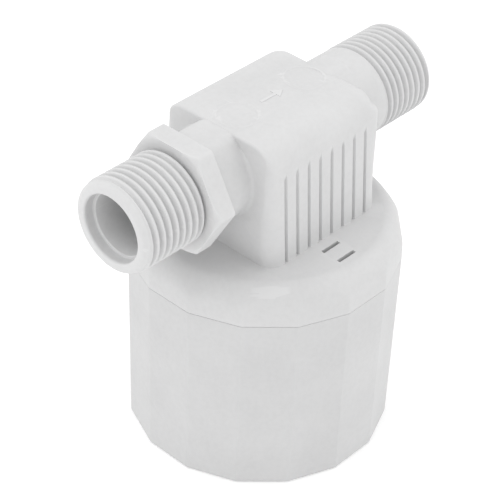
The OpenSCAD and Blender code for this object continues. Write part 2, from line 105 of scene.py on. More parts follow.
# Block
BLOCK_IN_X = -16.1
BLOCK_OUT_X = 18.5
BLOCK_HALF_W = 14.85
FOOT_HALF_W = 16.5
BLOCK_TOP_Z = 83.15
BLOCK_MID_Z = 65.0
LONG_EDGE_R = 4.9
CORNER_R = 3.6
TOP_CORNER_R = 1.7
INLET_EDGE_R = 0.6
OUTLET_EDGE_R = 4.6
GROOVE_COUNT = 8
GROOVE_PITCH = 3.57
GROOVE_MID_X = 1.1
GROOVE_MID_Y = 14.95
GROOVE_DEPTH = 0.5
GROOVE_DEEPENING = 0.3
GROOVE_HALF_W = 0.52
GROOVE_FLOOR_HALF_W = 0.2
GROOVE_TOP_Z = 76.5
GROOVE_FADE = 2.2
PAD_H = 10.42
INLET_PAD_HALF_W = 4.2
INLET_PAD_BLEND = 1.0
OUTLET_PAD_HALF_W = 2.9
OUTLET_PAD_BLEND = 0.2
PAD_END_X = 20.8
MARK_X = 10.3
MARK_R = 4.8
MARK_W = 0.6
MARK_T = 0.1

# Hollows in the block
FLANGE_R = 14.3
FLANGE_TOP_Z = 56.5
SEAL_SEAT_R = 12.9
SEAL_SEAT_TOP_Z = 58.2
GALLERY_R = 11.5
GALLERY_TOP_Z = 65.0
SEAT_OUT_R = 6.0
SEAT_Z = 63.05
SEAT_R = 4.5
SEAT_HOLE_TOP_Z = 70.0
SOCKET_END_X = -11.8
PORT_LOW = (-11.2, -4.0, 64.0)
PORT_HIGH_XY = (-7.2, 4.0)
SCREW_PILOT_R = 1.5
SCREW_PILOT_TOP_Z = 62.5

# Pipe ends
BORE_R = 6.0
SOCKET_R = 8.7
TAIL_R = 8.6
TAIL_GROOVE_R = 7.45
TAIL_GROOVE_LOW_X = -14.85
TAIL_GROOVE_HIGH_X = -13.6
BOSS_R = 10.35
BOSS_FRONT_X = -24.6
NECK_R = 10.35
NECK_END_X = 26.3
THREAD_R = 10.4775
THREAD_DEPTH = 1.16
THREAD_PITCH = 1.814
THREAD_HALF_W = 0.74
THREAD_STEP = THREAD_PITCH / 16
COLLAR_DROP = 0.42
UNDERCUT_W = 0.5
UNDERCUT_DEPTH = 0.5
INLET_GROOVE_X = -31.5
OUTLET_GROOVE_X = 39.9
HEX_AF = 24.0
HEX_FRONT_X = -29.6
HEX_BACK_X = -24.7
HEX_FACE_R = 11.2
HEX_BEVEL_R = 12.6
HEX_BEVEL_SLOPE = 1.4
HEX_CORNER_R = 13.72
MOUTH_R = 7.6
MOUTH_DEPTH = 2.6
INLET_BORE_R = 7.0
INLET_BORE_DEPTH = 19.0

# O-rings: radius to the middle of the wire, the wire's radius and the place along the axis
NIPPLE_SEAL = (8.1, 0.6, -14.2)
BONNET_SEAL = (12.15, 0.72, 57.3)
CAP_SEAL = (27.3, 0.5, RING_GROOVE_Z)

# Spring
SPRING_WIRE_R = 0.35
SPRING_TURNS = 4.5

# Camera: the direction it looks from, its roll, distance, aim and lens
CAMERA_AZIMUTH = math.radians(-48.17)
CAMERA_ELEVATION = math.radians(37.456)
CAMERA_ROLL = math.radians(2.332)
CAMERA_DISTANCE = 416.86
CAMERA_AIM = Vector((-4.651, 0.0, 45.165))
CAMERA_LENS = 136.8
SENSOR_W = 36.0
# Angle round the pipe, from +Y towards +Z, that faces the camera
VIEW_ANGLE = math.radians(131)


# ---------------------------------------------------------------- mesh tools
def arc(centre, radius, start, end, count):
    """Points of an arc in a plane. Angles are in degrees."""
    angles = np.radians(np.linspace(start, end, count))
    return [(centre[0] + radius * math.cos(a), centre[1] + radius * math.sin(a)) for a in angles]


def filleted(points, steps=5):
    """A closed outline from (a, b, radius) corners, each rounded with an arc of that radius."""
    out = []
    n = len(points)
    for i, (a, b, radius) in enumerate(points):
        corner = np.array((a, b), float)
        if radius <= 0:
            out.append(tuple(corner))
            continue
        before = np.array(points[i - 1][:2], float) - corner
        after = np.array(points[(i + 1) % n][:2], float) - corner
        before /= np.linalg.norm(before)
        after /= np.linalg.norm(after)
        half = math.acos(max(-1.0, min(1.0, float(before @ after)))) / 2
        middle = (before + after) / np.linalg.norm(before + after)
        centre = corner + middle * radius / math.sin(half)
        first = corner + before * radius / math.tan(half) - centre
        last = corner + after * radius / math.tan(half) - centre
        for t in np.linspace(0, 1, steps):
            spoke = first * (1 - t) + last * t
            out.append(tuple(centre + spoke / np.linalg.norm(spoke) * radius))
    return out


def new_object(name, vertices, faces, sharp=32):
    """A mesh object from points in millimetres, smooth except at edges sharper than the angle."""
    mesh = bpy.data.meshes.new(name)
    mesh.from_pydata([tuple(float(c) * MM for c in v) for v in vertices], [], faces)
    obj = bpy.data.objects.new(name, mesh)
    bpy.context.scene.collection.objects.link(obj)
    tidy_mesh(obj, sharp)
    return obj


def tidy_mesh(obj, sharp=32):
    """Welds doubled points, turns faces outwards and sets which edges look sharp."""
    work = bmesh.new()
    work.from_mesh(obj.data)
    bmesh.ops.remove_doubles(work, verts=work.verts, dist=0.0005 * MM)
    bmesh.ops.dissolve_degenerate(work, edges=work.edges, dist=0.0002 * MM)
    bmesh.ops.recalc_face_normals(work, faces=work.faces)
    work.to_mesh(obj.data)
    work.free()
    obj.data.shade_smooth()
    obj.data.set_sharp_from_angle(angle=math.radians(sharp))


def skin(rings, wrap=False):
    """Vertices and faces of a surface through rings of equal length.

    Its two ends are closed by flat faces unless it wraps.
    """
    count = len(rings[0])
    vertices = np.concatenate([np.asarray(r, float) for r in rings])
    faces = []
    total = len(rings)
    for i in range(total if wrap else total - 1):
        here = i * count
        there = ((i + 1) % total) * count
        for j in range(count):
            k = (j + 1) % count
            faces.append((here + j, here + k, there + k, there + j))
    if not wrap:
        faces.append(tuple(range(count)))
        faces.append(tuple((total - 1) * count + j for j in reversed(range(count))))
    return vertices, faces


def lathe(name, outline, segments=128, axis="z", centre=(0.0, 0.0), wrap=True, sharp=32):
    """A closed outline of (radius, place) turned round an upright axis or round the pipe's axis."""
    angles = np.arange(segments) * 2 * math.pi / segments
    rings = []
    for radius, place in outline:
        if axis == "z":
            ring = [
                (centre[0] + radius * math.cos(a), centre[1] + radius * math.sin(a), place)
                for a in angles
            ]
        else:
            ring = [(place, radius * math.cos(a), PIPE_Z + radius * math.sin(a)) for a in angles]
        rings.append(ring)
    vertices, faces = skin(rings, wrap)
    return new_object(name, vertices, faces, sharp)


def rounded_box(name, low, high, radius, steps=4):
    """A box whose upright edges are rounded."""
    x0, y0, z0 = low
    x1, y1, z1 = high
    corners = ((x0, y0), (x1, y0), (x1, y1), (x0, y1))
    outline = filleted([(x, y, radius) for x, y in corners], steps)
    rings = [[(x, y, z) for x, y in outline] for z in (z0, z1)]
    vertices, faces = skin(rings)
    return new_object(name, vertices, faces)


def boolean(obj, others, operation, sharp=32):
    """Joins the others to the object or cuts them from it, and then removes them."""
    group = bpy.data.collections.new("operands")
    for other in others:
        group.objects.link(other)
    step = obj.modifiers.new("step", "BOOLEAN")
    step.operation = operation
    step.operand_type = "COLLECTION"
    step.collection = group
    step.solver = "EXACT"
    depsgraph = bpy.context.evaluated_depsgraph_get()
    result = bpy.data.meshes.new_from_object(obj.evaluated_get(depsgraph))
    obj.modifiers.clear()
    obj.data = result
    for other in others:
        bpy.data.objects.remove(other)
    bpy.data.collections.remove(group)
    tidy_mesh(obj, sharp)


def soft_min(a, b, blend):
    """The smaller of two values, rounded off over the blend distance."""
    h = np.clip(0.5 + 0.5 * (b - a) / blend, 0, 1)
    return b * (1 - h) + a * h - blend * h * (1 - h)


def smooth_step(value, start, end):
    """Goes from 0 at start to 1 at end without a corner."""
    t = np.clip((value - start) / (end - start), 0, 1)
    return t * t * (3 - 2 * t)


# ---------------------------------------------------------------- materials
# Sizes of the noise patterns, in features per metre
CLOUD_SCALE = 60.0
SPECK_SCALE = 900.0
SHEEN_SCALE = 260.0
SWELL_SCALE = 140.0
STROKE_SCALE = 3000.0
METAL_CLOUD_SCALE = 400.0


def link(tree, source, target):
    tree.links.new(source, target)


def add_node(tree, kind, **settings):
    node = tree.nodes.new(kind)
    for key, value in settings.items():
        setattr(node, key, value)
    return node


def noise(tree, coordinate, scale, detail=2.0, roughness=0.5):
    """A noise texture on the object's own coordinates. Scale is in features per metre."""
    node = add_node(tree, "ShaderNodeTexNoise")
    node.inputs["Scale"].default_value = scale
    node.inputs["Detail"].default_value = detail
    node.inputs["Roughness"].default_value = roughness
    link(tree, coordinate, node.inputs["Vector"])
    return node.outputs["Fac"]


def ramp(tree, source, stops):
    """A colour ramp with (place, grey or colour) stops."""
    node = add_node(tree, "ShaderNodeValToRGB")
    elements = node.color_ramp.elements
    while len(elements) < len(stops):
        elements.new(0.5)
    for element, (place, value) in zip(elements, stops):
        element.position = place
        colour = (value,) * 3 if isinstance(value, (int, float)) else value
        element.color = (*colour, 1.0)
    link(tree, source, node.inputs["Fac"])
    return node.outputs["Color"]


def spread(tree, source, low, high):
    """Maps a value from 0..1 to low..high."""
    node = add_node(tree, "ShaderNodeMapRange")
    node.inputs["To Min"].default_value = low
    node.inputs["To Max"].default_value = high
    link(tree, source, node.inputs["Value"])
    return node.outputs["Result"]


def mix_colour(tree, factor, first, second, mode="MIX"):
    node = add_node(tree, "ShaderNodeMix", data_type="RGBA", blend_type=mode)
    for index, value in ((0, factor), (6, first), (7, second)):
        socket = node.inputs[index]
        if isinstance(value, bpy.types.NodeSocket):
            link(tree, value, socket)
        else:
            socket.default_value = value
    return node.outputs[2]


def moulded(
    name,
    colour,
    variation=0.03,
    roughness=(0.52, 0.66),
    grain=0.02,
    grain_scale=5200.0,
    edge_light=0.05,
    specular=0.3,
    subsurface=0.0,
):
    """Moulded plastic or rubber: cloudy colour, fine grain, uneven sheen and rubbed edges."""
    material = bpy.data.materials.new(name)
    material.use_nodes = True
    tree = material.node_tree
    tree.nodes.clear()
    place = add_node(tree, "ShaderNodeTexCoord").outputs["Object"]
    shader = add_node(tree, "ShaderNodeBsdfPrincipled")
    shader.inputs["Specular IOR Level"].default_value = specular
    shader.inputs["Subsurface Weight"].default_value = subsurface
    shader.inputs["Subsurface Radius"].default_value = (1.0, 0.9, 0.8)
    shader.inputs["Subsurface Scale"].default_value = 0.8 * MM
    cloud = noise(tree, place, CLOUD_SCALE, 3.0, 0.55)
    speck = noise(tree, place, SPECK_SCALE, 4.0, 0.6)
    low = tuple(c * (1 - variation) for c in colour)
    high = tuple(min(1.0, c * (1 + variation)) for c in colour)
    base = ramp(tree, cloud, [(0.3, low), (0.7, high)])
    dusty = ramp(tree, speck, [(0.35, 1 - variation), (0.6, 1.0)])
    base = mix_colour(tree, 1.0, base, dusty, "MULTIPLY")
    edges = add_node(tree, "ShaderNodeNewGeometry").outputs["Pointiness"]
    worn = ramp(tree, edges, [(0.5, 0.0), (0.56, 1.0)])
    rubbed = tuple(min(1.0, c * (1 + edge_light)) for c in colour)
    base = mix_colour(tree, worn, base, (*rubbed, 1.0))
    link(tree, base, shader.inputs["Base Color"])
    patches = noise(tree, place, SHEEN_SCALE, 3.0, 0.6)
    sheen = spread(tree, patches, *roughness)
    polish = add_node(tree, "ShaderNodeMath", operation="MULTIPLY_ADD")
    polish.inputs[1].default_value = -0.08
    link(tree, worn, polish.inputs[0])
    link(tree, sheen, polish.inputs[2])
    link(tree, polish.outputs[0], shader.inputs["Roughness"])
    fine = noise(tree, place, grain_scale, 3.0, 0.65)
    swell = noise(tree, place, SWELL_SCALE, 2.0, 0.5)
    bump = add_node(tree, "ShaderNodeBump")
    bump.inputs["Strength"].default_value = 0.35
    bump.inputs["Distance"].default_value = grain * MM
    link(tree, fine, bump.inputs["Height"])
    sink = add_node(tree, "ShaderNodeBump")
    sink.inputs["Strength"].default_value = 0.3
    sink.inputs["Distance"].default_value = 0.12 * MM
    link(tree, swell, sink.inputs["Height"])
    link(tree, bump.outputs["Normal"], sink.inputs["Normal"])
    link(tree, sink.outputs["Normal"], shader.inputs["Normal"])
    output = add_node(tree, "ShaderNodeOutputMaterial")
    link(tree, shader.outputs["BSDF"], output.inputs["Surface"])
    return material


def metal(name, colour, roughness=(0.22, 0.4), lines=(1.0, 1.0, 1.0), variation=0.06):
    """Drawn or turned metal: fine lines across one axis, patchy polish and bright edges."""
    material = bpy.data.materials.new(name)
    material.use_nodes = True
    tree = material.node_tree
    tree.nodes.clear()
    place = add_node(tree, "ShaderNodeTexCoord").outputs["Object"]
    squeeze = add_node(tree, "ShaderNodeMapping")
    squeeze.inputs["Scale"].default_value = lines
    link(tree, place, squeeze.inputs["Vector"])
    shader = add_node(tree, "ShaderNodeBsdfPrincipled")
    shader.inputs["Metallic"].default_value = 1.0
    stroke = noise(tree, squeeze.outputs["Vector"], STROKE_SCALE, 3.0, 0.6)
    cloud = noise(tree, place, METAL_CLOUD_SCALE, 3.0, 0.5)
    low = tuple(c * (1 - variation) for c in colour)
    high = tuple(min(1.0, c * (1 + variation)) for c in colour)
    base = ramp(tree, cloud, [(0.3, low), (0.7, high)])
    edges = add_node(tree, "ShaderNodeNewGeometry").outputs["Pointiness"]
    worn = ramp(tree, edges, [(0.52, 0.0), (0.6, 1.0)])
    bright = tuple(min(1.0, c * 1.15) for c in colour)
    base = mix_colour(tree, worn, base, (*bright, 1.0))
    link(tree, base, shader.inputs["Base Color"])
    link(tree, spread(tree, stroke, *roughness), shader.inputs["Roughness"])
    bump = add_node(tree, "ShaderNodeBump")
    bump.inputs["Strength"].default_value = 0.3
    bump.inputs["Distance"].default_value = 0.01 * MM
    link(tree, stroke, bump.inputs["Height"])
    link(tree, bump.outputs["Normal"], shader.inputs["Normal"])
    output = add_node(tree, "ShaderNodeOutputMaterial")
    link(tree, shader.outputs["BSDF"], output.inputs["Surface"])
    return material


SHELL_GREY = (0.61, 0.61, 0.612)
# Body, nipple, cap and cup are one grey plastic; the copies below are made lighter or darker as
# painted light and painted shade.
MATERIALS = {
    "body_plastic": moulded("body_plastic", SHELL_GREY),
    # Painted light: the nipple's copy of the shell grey is made lighter.
    "nipple_plastic": moulded("nipple_plastic", tuple(c * 1.02 for c in SHELL_GREY)),
    # Painted shade: the cap's copy of the shell grey is made slightly darker.
    "cap_plastic": moulded("cap_plastic", tuple(c * 0.99 for c in SHELL_GREY)),
    # Painted shade: the cup's copy of the shell grey is made darker, to take back the light that the
    # floor throws on it.
    "cup_plastic": moulded("cup_plastic", tuple(c * 0.95 for c in SHELL_GREY)),
    "inner_plastic": moulded("inner_plastic", (0.42, 0.45, 0.49), roughness=(0.36, 0.5)),
    "lever_plastic": moulded("lever_plastic", (0.72, 0.70, 0.62), subsurface=0.1),
    "float_plastic": moulded(
        "float_plastic", (0.74, 0.73, 0.68), roughness=(0.25, 0.38), subsurface=0.15
    ),
    "seal_rubber": moulded(
        "seal_rubber", (0.025, 0.025, 0.028), variation=0.2, roughness=(0.6, 0.8), grain=0.03
    ),
    "spring_steel": metal("spring_steel", (0.62, 0.62, 0.63), roughness=(0.2, 0.35)),
    "screw_steel": metal("screw_steel", (0.60, 0.60, 0.61), lines=(1.0, 1.0, 0.1)),
    "pin_brass": metal("pin_brass", (0.74, 0.53, 0.25), lines=(1.0, 0.1, 1.0)),
}


def finish_piece(obj, body, slot, *nodes):
    """Gives the piece the material of its slot and its body, and hides the CAD nodes that it stands
    for.
    """
    obj.data.materials.clear()
    obj.data.materials.append(MATERIALS[slot])
    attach(obj, body)
    if nodes:
        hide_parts(*nodes)
    return obj


# ---------------------------------------------------------------- cup and cap
def facet_ring(apothem, corner_r, z, arc_steps=6, flat_steps=4):
    """A sixteen-sided ring with rounded corners.

    With a corner radius equal to the apothem it is a circle.
    """
    centre_r = (apothem - corner_r) / math.cos(HALF_STEP)
    points = []
    for i in range(SIDES):
        middle = HALF_STEP * (2 * i + 1)
        centre = np.array((math.cos(middle), math.sin(middle))) * centre_r
        swing = np.linspace(middle - HALF_STEP, middle + HALF_STEP, arc_steps)
        curve = [centre + corner_r * np.array((math.cos(a), math.sin(a))) for a in swing]
        points.extend(curve)
        next_middle = middle + 2 * HALF_STEP
        next_centre = np.array((math.cos(next_middle), math.sin(next_middle))) * centre_r
        start_angle = middle + HALF_STEP
        next_start = next_centre + corner_r * np.array((math.cos(start_angle), math.sin(start_angle)))
        for t in np.linspace(0, 1, flat_steps + 2)[1:-1]:
            points.append(curve[-1] * (1 - t) + next_start * t)
    return [(p[0], p[1], z) for p in points]


def round_ring(radius, z):
    return facet_ring(radius, radius, z)


def wall_apothem(z):
    """Half the distance across the flats of the cup's wall, carried on to height z."""
    return (CUP_BASE_R + (CUP_RIM_R - CUP_BASE_R) * z / SEAM_Z) * math.cos(HALF_STEP)


def make_cup():
    """The cup: faceted outside with rounded edges, round inside, guide ribs and a drain hole."""
    rim_z = SEAM_Z - SEAM_GAP
    edge_r = 0.7
    rings = []
    floor_r = wall_apothem(0)
    for t in np.linspace(0, 90, 7):
        inset = edge_r * (1 - math.sin(math.radians(t)))
        z = edge_r * (1 - math.cos(math.radians(t)))
        rings.append(facet_ring(floor_r - inset, CUP_CORNER_R, z))
    for z in np.linspace(edge_r, rim_z - SEAM_EDGE_R, 14)[1:]:
        rings.append(facet_ring(wall_apothem(z), CUP_CORNER_R, z))
    for t in np.linspace(0, 90, 5)[1:]:
        inset = SEAM_EDGE_R * (1 - math.cos(math.radians(t)))
        z = rim_z - SEAM_EDGE_R * (1 - math.sin(math.radians(t)))
        rings.append(facet_ring(wall_apothem(rim_z) - inset, CUP_CORNER_R, z))
    bevel = 0.3
    fillet_r = 2.0
    inside = [(CUP_IN_R + bevel, rim_z), (CUP_IN_R, rim_z - bevel)]
    inside += [(CUP_IN_R, z) for z in (30.0, 15.0)]
    inside += arc((CUP_IN_R - fillet_r, CUP_FLOOR_Z + fillet_r), fillet_r, 0, -90, 7)
    rings.extend(round_ring(r, z) for r, z in inside)
    vertices, faces = skin(rings)
    cup = new_object("cup_shell", vertices, faces, sharp=40)
    root_r = CUP_IN_R + 0.6
    root_z = CUP_FLOOR_Z - 0.5
    nose_h = 2.6
    nose_r = 1.6
    outline = filleted([
        (RIB_IN_R, root_z, 0),
        (root_r, root_z, 0),
        (root_r, RIB_TOP_Z + 0.6, 0),
        (RIB_IN_R, RIB_TOP_Z - nose_h, nose_r),
    ])
    ribs = []
    for i in range(RIB_COUNT):
        sides = [[(r, y, z) for r, z in outline] for y in (-RIB_W / 2, RIB_W / 2)]
        vertices, faces = skin(sides)
        rib = new_object("rib", vertices, faces)
        rib.data.transform(Matrix.Rotation(math.radians(45 + 360 / RIB_COUNT * i), 4, "Z"))
        ribs.append(rib)
    boolean(cup, ribs, "UNION", sharp=40)
    flare_r = DRAIN_R + 0.4
    lip = 0.2
    hole = [(flare_r, -lip), (DRAIN_R, lip)]
    hole += [(DRAIN_R, CUP_FLOOR_Z - lip), (flare_r, CUP_FLOOR_Z + lip)]
    drain = lathe("drain", hole, 48, centre=(DRAIN_X, 0.0), wrap=False)
    boolean(cup, [drain], "DIFFERENCE", sharp=40)
    return finish_piece(cup, "cup", "cup_plastic", "cup")


def make_cap():
    """The cap: faceted skirt, rounded shoulder, flat top, grooved inner lip, slots and holes."""
    lean = 0.25
    rings = []
    side_top_z = CAP_TOP_Z - SHOULDER_H
    for t in np.linspace(0, 90, 5)[:-1]:
        inset = SEAM_EDGE_R * (1 - math.sin(math.radians(t)))
        z = SEAM_Z + SEAM_EDGE_R * (1 - math.cos(math.radians(t)))
        rings.append(facet_ring(wall_apothem(SEAM_Z) - inset, CUP_CORNER_R, z))
    heights = np.concatenate([
        np.linspace(SEAM_Z + SEAM_EDGE_R, side_top_z, 4),
        side_top_z + SHOULDER_H * np.sin(np.radians(np.linspace(0, 90, 22)[1:])),
    ])
    for z in heights:
        rise = max(0.0, (z - side_top_z) / SHOULDER_H)
        wall = wall_apothem(SEAM_Z) - lean * (z - SEAM_Z) / (CAP_TOP_Z - SEAM_Z)
        apothem = SHOULDER_IN_R + (wall - SHOULDER_IN_R) * math.sqrt(max(0.0, 1 - rise * rise))
        roundness = float(smooth_step(rise, 0.0, 0.9))
        corner_r = CUP_CORNER_R + (apothem - CUP_CORNER_R) * roundness
        rings.append(facet_ring(apothem, corner_r, z))
    plate_mid_r = 20.0
    under_z = CAP_TOP_Z - CAP_PLATE_T
    low_z = CAP_LOW[2]
    groove_low = RING_GROOVE_Z - RING_GROOVE_HALF
    groove_high = RING_GROOVE_Z + RING_GROOVE_HALF
    fillet_r = 1.2
    in_bevel = 0.3
    lip_bevel = 0.4
    inside = [(plate_mid_r, CAP_TOP_Z), (CAP_HOLE_R, CAP_TOP_Z)]
    inside += [(CAP_HOLE_R, under_z), (plate_mid_r, under_z)]
    inside += arc((CAP_IN_R - fillet_r, under_z - fillet_r), fillet_r, 90, 0, 5)
    inside += [(CAP_IN_R, low_z + in_bevel), (CAP_IN_R + in_bevel, low_z)]
    inside += [(LIP_R - lip_bevel, low_z), (LIP_R, low_z + lip_bevel)]
    inside += [(LIP_R, groove_low), (RING_GROOVE_R, groove_low)]
    inside += [(RING_GROOVE_R, groove_high), (LIP_R, groove_high), (LIP_R, SEAM_Z)]
    rings.extend(round_ring(r, z) for r, z in inside)
    vertices, faces = skin(rings, wrap=True)
    cap = new_object("cap_shell", vertices, faces, sharp=40)
    cuts = []
    for y in SLOT_YS:
        low = (SLOT_X - SLOT_L / 2, y - SLOT_W / 2, under_z - 1)
        high = (SLOT_X + SLOT_L / 2, y + SLOT_W / 2, CAP_TOP_Z + 1)
        cuts.append(rounded_box("slot", low, high, SLOT_CORNER_R))
    for sx in (-1, 1):
        for sy in (-1, 1):
            hole = [(SCREW_HOLE_R, under_z - 1), (SCREW_HOLE_R, CAP_TOP_Z + 1)]
            cuts.append(lathe("hole", hole, 32, centre=(sx * SCREW_XY, sy * SCREW_XY), wrap=False))
    boolean(cap, cuts, "DIFFERENCE", sharp=40)
    return finish_piece(cap, "body", "cap_plastic", "cap")


# ---------------------------------------------------------------- threads
RING_POINTS = 240
RING_ANGLES = np.arange(RING_POINTS) * 2 * math.pi / RING_POINTS


def pipe_ring(radii, x):
    """A ring round the pipe's axis with a radius for each angle."""
    radii = np.broadcast_to(radii, RING_ANGLES.shape)
    return np.stack([
        np.full(RING_POINTS, float(x)),
        radii * np.cos(RING_ANGLES),
        PIPE_Z + radii * np.sin(RING_ANGLES),
    ], axis=-1)


def thread_cut(x, groove_x, low_x, high_x, low_fade, high_fade):
    """Depth of the helical groove round the ring at x. It fades in and out near its two ends."""
    turns = (x - groove_x) / THREAD_PITCH - (RING_ANGLES - VIEW_ANGLE) / (2 * math.pi)
    away = np.abs(turns - np.round(turns)) * THREAD_PITCH
    shape = 0.5 * (1 + np.cos(math.pi * np.clip(away / THREAD_HALF_W, 0, 1)))
    fade = smooth_step(x, low_x, low_x + low_fade) * (1 - smooth_step(x, high_x - high_fade, high_x))
    return THREAD_DEPTH * shape * fade


def make_nipple():
    """The inlet nipple: stepped mouth, helical thread, undercut, bevelled hexagon and tail."""
    front = NIPPLE_LOW[0]
    tail = NIPPLE_HIGH[0]
    lip_r = 1.15
    undercut_x = HEX_FRONT_X - UNDERCUT_W
    root_r = THREAD_R - THREAD_DEPTH
    gap_r = root_r - UNDERCUT_DEPTH
    rings = []
    for r, x in arc((THREAD_R - COLLAR_DROP - lip_r, front + lip_r), lip_r, -90, 0, 8):
        rings.append(pipe_ring(r, x))
    collar_x = front + 1.9
    for x in np.arange(front + lip_r + 0.15, undercut_x - 0.02, THREAD_STEP):
        crest = THREAD_R - COLLAR_DROP * (1 - smooth_step(x, collar_x - 0.55, collar_x + 0.25))
        crest -= 0.22 * smooth_step(x, undercut_x - 0.35, undercut_x)
        cut = thread_cut(x, INLET_GROOVE_X, collar_x - 0.6, undercut_x + 2.0, 1.5, 0.1)
        rings.append(pipe_ring(np.maximum(crest - cut, root_r), x))
    round_r = 0.12
    rings.append(pipe_ring(gap_r + round_r, undercut_x + 0.03))
    rings.append(pipe_ring(gap_r, undercut_x + round_r))
    rings.append(pipe_ring(gap_r, HEX_FRONT_X - round_r))
    rings.append(pipe_ring(gap_r + round_r, HEX_FRONT_X))
    turn = math.pi / 3
    facet = (RING_ANGLES - math.pi / 2 + turn / 2) % turn - turn / 2
    flat_r = soft_min(HEX_AF / 2 / np.cos(facet), HEX_CORNER_R, round_r)
    rings.append(pipe_ring(HEX_FACE_R, HEX_FRONT_X))
    for x in (0, 0.06, 0.2, 0.4, 0.6, 0.85, 1.1, 1.5, 2.2, 3.2, 4.2):
        bevel = HEX_BEVEL_R + HEX_BEVEL_SLOPE * x - 0.2 * (1 - smooth_step(x, 0, 0.15))
        rings.append(pipe_ring(soft_min(flat_r, bevel, 0.3), HEX_FRONT_X + x))
    for inset, back in ((0.0, 0.3), (0.03, 0.14), (0.1, 0.05), (0.22, 0.0)):
        rings.append(pipe_ring(flat_r - inset, HEX_BACK_X - back))
    lean = 0.05
    outline = [(TAIL_R, HEX_BACK_X), (TAIL_R, -20.0), (TAIL_R, TAIL_GROOVE_LOW_X - lean)]
    outline += [(TAIL_GROOVE_R, TAIL_GROOVE_LOW_X), (TAIL_GROOVE_R, TAIL_GROOVE_HIGH_X)]
    outline += [(TAIL_R, TAIL_GROOVE_HIGH_X + lean), (TAIL_R, tail - 0.4), (TAIL_R - 0.4, tail)]
    bore_end = front + INLET_BORE_DEPTH
    outline += [(BORE_R + 0.3, tail), (BORE_R, tail - 0.3), (BORE_R, bore_end)]
    outline += [(INLET_BORE_R, bore_end - 1.0)]
    ledge_x = front + MOUTH_DEPTH
    ledge_r = 0.25
    rim_r = 0.55
    outline += [(INLET_BORE_R, ledge_x + 6.0), (INLET_BORE_R, ledge_x + ledge_r)]
    outline += arc((INLET_BORE_R + ledge_r, ledge_x + ledge_r), ledge_r, 180, 270, 4)[1:]
    outline += [(MOUTH_R - 0.1, ledge_x), (MOUTH_R, ledge_x - 0.12), (MOUTH_R, front + 0.9)]
    outline += arc((MOUTH_R + rim_r, front + rim_r), rim_r, 180, 270, 6)
    rings.extend(pipe_ring(r, x) for r, x in outline)
    vertices, faces = skin(rings, wrap=True)
    nipple = new_object("nipple_shell", vertices, faces, sharp=38)
    return finish_piece(nipple, "body", "nipple_plastic", "inlet_nipple")


def angle_from_top():
    """How far each point of a ring round the pipe is from the ring's top."""
    return np.abs((RING_ANGLES + math.pi / 2) % (2 * math.pi) - math.pi)


def padded_radius(pipe_r, half_w, blend):
    """Radii round the pipe with a flat-topped pad that runs tangent into the pipe on both sides."""
    off = angle_from_top()
    lean = math.atan2(half_w, PAD_H) + math.acos(pipe_r / math.hypot(half_w, PAD_H))
    flat = PAD_H / np.cos(np.minimum(off, 1.3))
    side = pipe_r / np.cos(np.clip(lean - off, 0, None))
    return np.maximum(pipe_r, soft_min(flat, side, blend))


def wall_fillet(size):
    """Extra radii of the fillet between the pipe and the block. It fades out towards the top."""
    return size * smooth_step(angle_from_top(), math.radians(35), math.radians(65))


def make_spigot():
    """The outlet's neck with its pad and its threaded end, filleted at the block."""
    end = BODY_HIGH[0]
    end_r = 0.9
    fillet_r = 0.7
    root_x = BLOCK_OUT_X - OUTLET_EDGE_R - 1.5
    padded = padded_radius(NECK_R, OUTLET_PAD_HALF_W, OUTLET_PAD_BLEND)
    rings = [pipe_ring(NECK_R - 2.0, root_x), pipe_ring(padded, root_x)]
    for t in np.radians(np.linspace(0, 90, 6)):
        fillet = wall_fillet(fillet_r * (1 - math.sin(t)))
        rings.append(pipe_ring(padded + fillet, BLOCK_OUT_X - 0.05 + fillet_r * (1 - math.cos(t))))
    for x in np.linspace(BLOCK_OUT_X + 1.0, PAD_END_X, 4):
        rings.append(pipe_ring(padded, x))
    for x, share in ((0.05, 0.85), (0.12, 0.4), (0.2, 0.1), (0.3, 0.0)):
        rings.append(pipe_ring(NECK_R + (padded - NECK_R) * share, PAD_END_X + x))
    for x in np.linspace(PAD_END_X + 1.0, NECK_END_X - 0.2, 4):
        rings.append(pipe_ring(NECK_R, x))
    for x in np.arange(NECK_END_X, end - end_r, THREAD_STEP):
        crest = NECK_R + (THREAD_R - NECK_R) * smooth_step(x, NECK_END_X, NECK_END_X + 0.5)
        cut = thread_cut(x, OUTLET_GROOVE_X, NECK_END_X - 0.3, end + 1.0, 0.9, 0.1)
        rings.append(pipe_ring(crest - cut, x))
    for r, x in arc((THREAD_R - end_r, end - end_r), end_r, 0, 90, 7):
        cut = thread_cut(x, OUTLET_GROOVE_X, NECK_END_X, end + 0.4, 0.9, 0.9)
        rings.append(pipe_ring(r - cut * 0.6, x))
    vertices, faces = skin(rings)
    return new_object("spigot", vertices, faces, sharp=38)


def make_boss():
    """The boss that holds the nipple: a round pipe with a flat pad on top, filleted at the block."""
    fillet_r = 0.9
    padded = padded_radius(BOSS_R, INLET_PAD_HALF_W, INLET_PAD_BLEND)
    front_edge = ((0, 0.3), (0.08, 0.08), (0.3, 0))
    rings = [pipe_ring(padded - inset, BOSS_FRONT_X + x) for x, inset in front_edge]
    for x in np.linspace(BOSS_FRONT_X + 1.5, BLOCK_IN_X - 1.5, 5):
        rings.append(pipe_ring(padded, x))
    for t in np.radians(np.linspace(0, 90, 7)):
        fillet = wall_fillet(fillet_r * (1 - math.cos(t)))
        rings.append(pipe_ring(padded + fillet, BLOCK_IN_X - fillet_r * (1 - math.sin(t))))
    rings.append(pipe_ring(padded + wall_fillet(fillet_r), BLOCK_IN_X + 0.5))
    rings.append(pipe_ring(BOSS_R - 1.0, BLOCK_IN_X + 1.0))
    vertices, faces = skin(rings)
    return new_object("boss", vertices, faces, sharp=38)


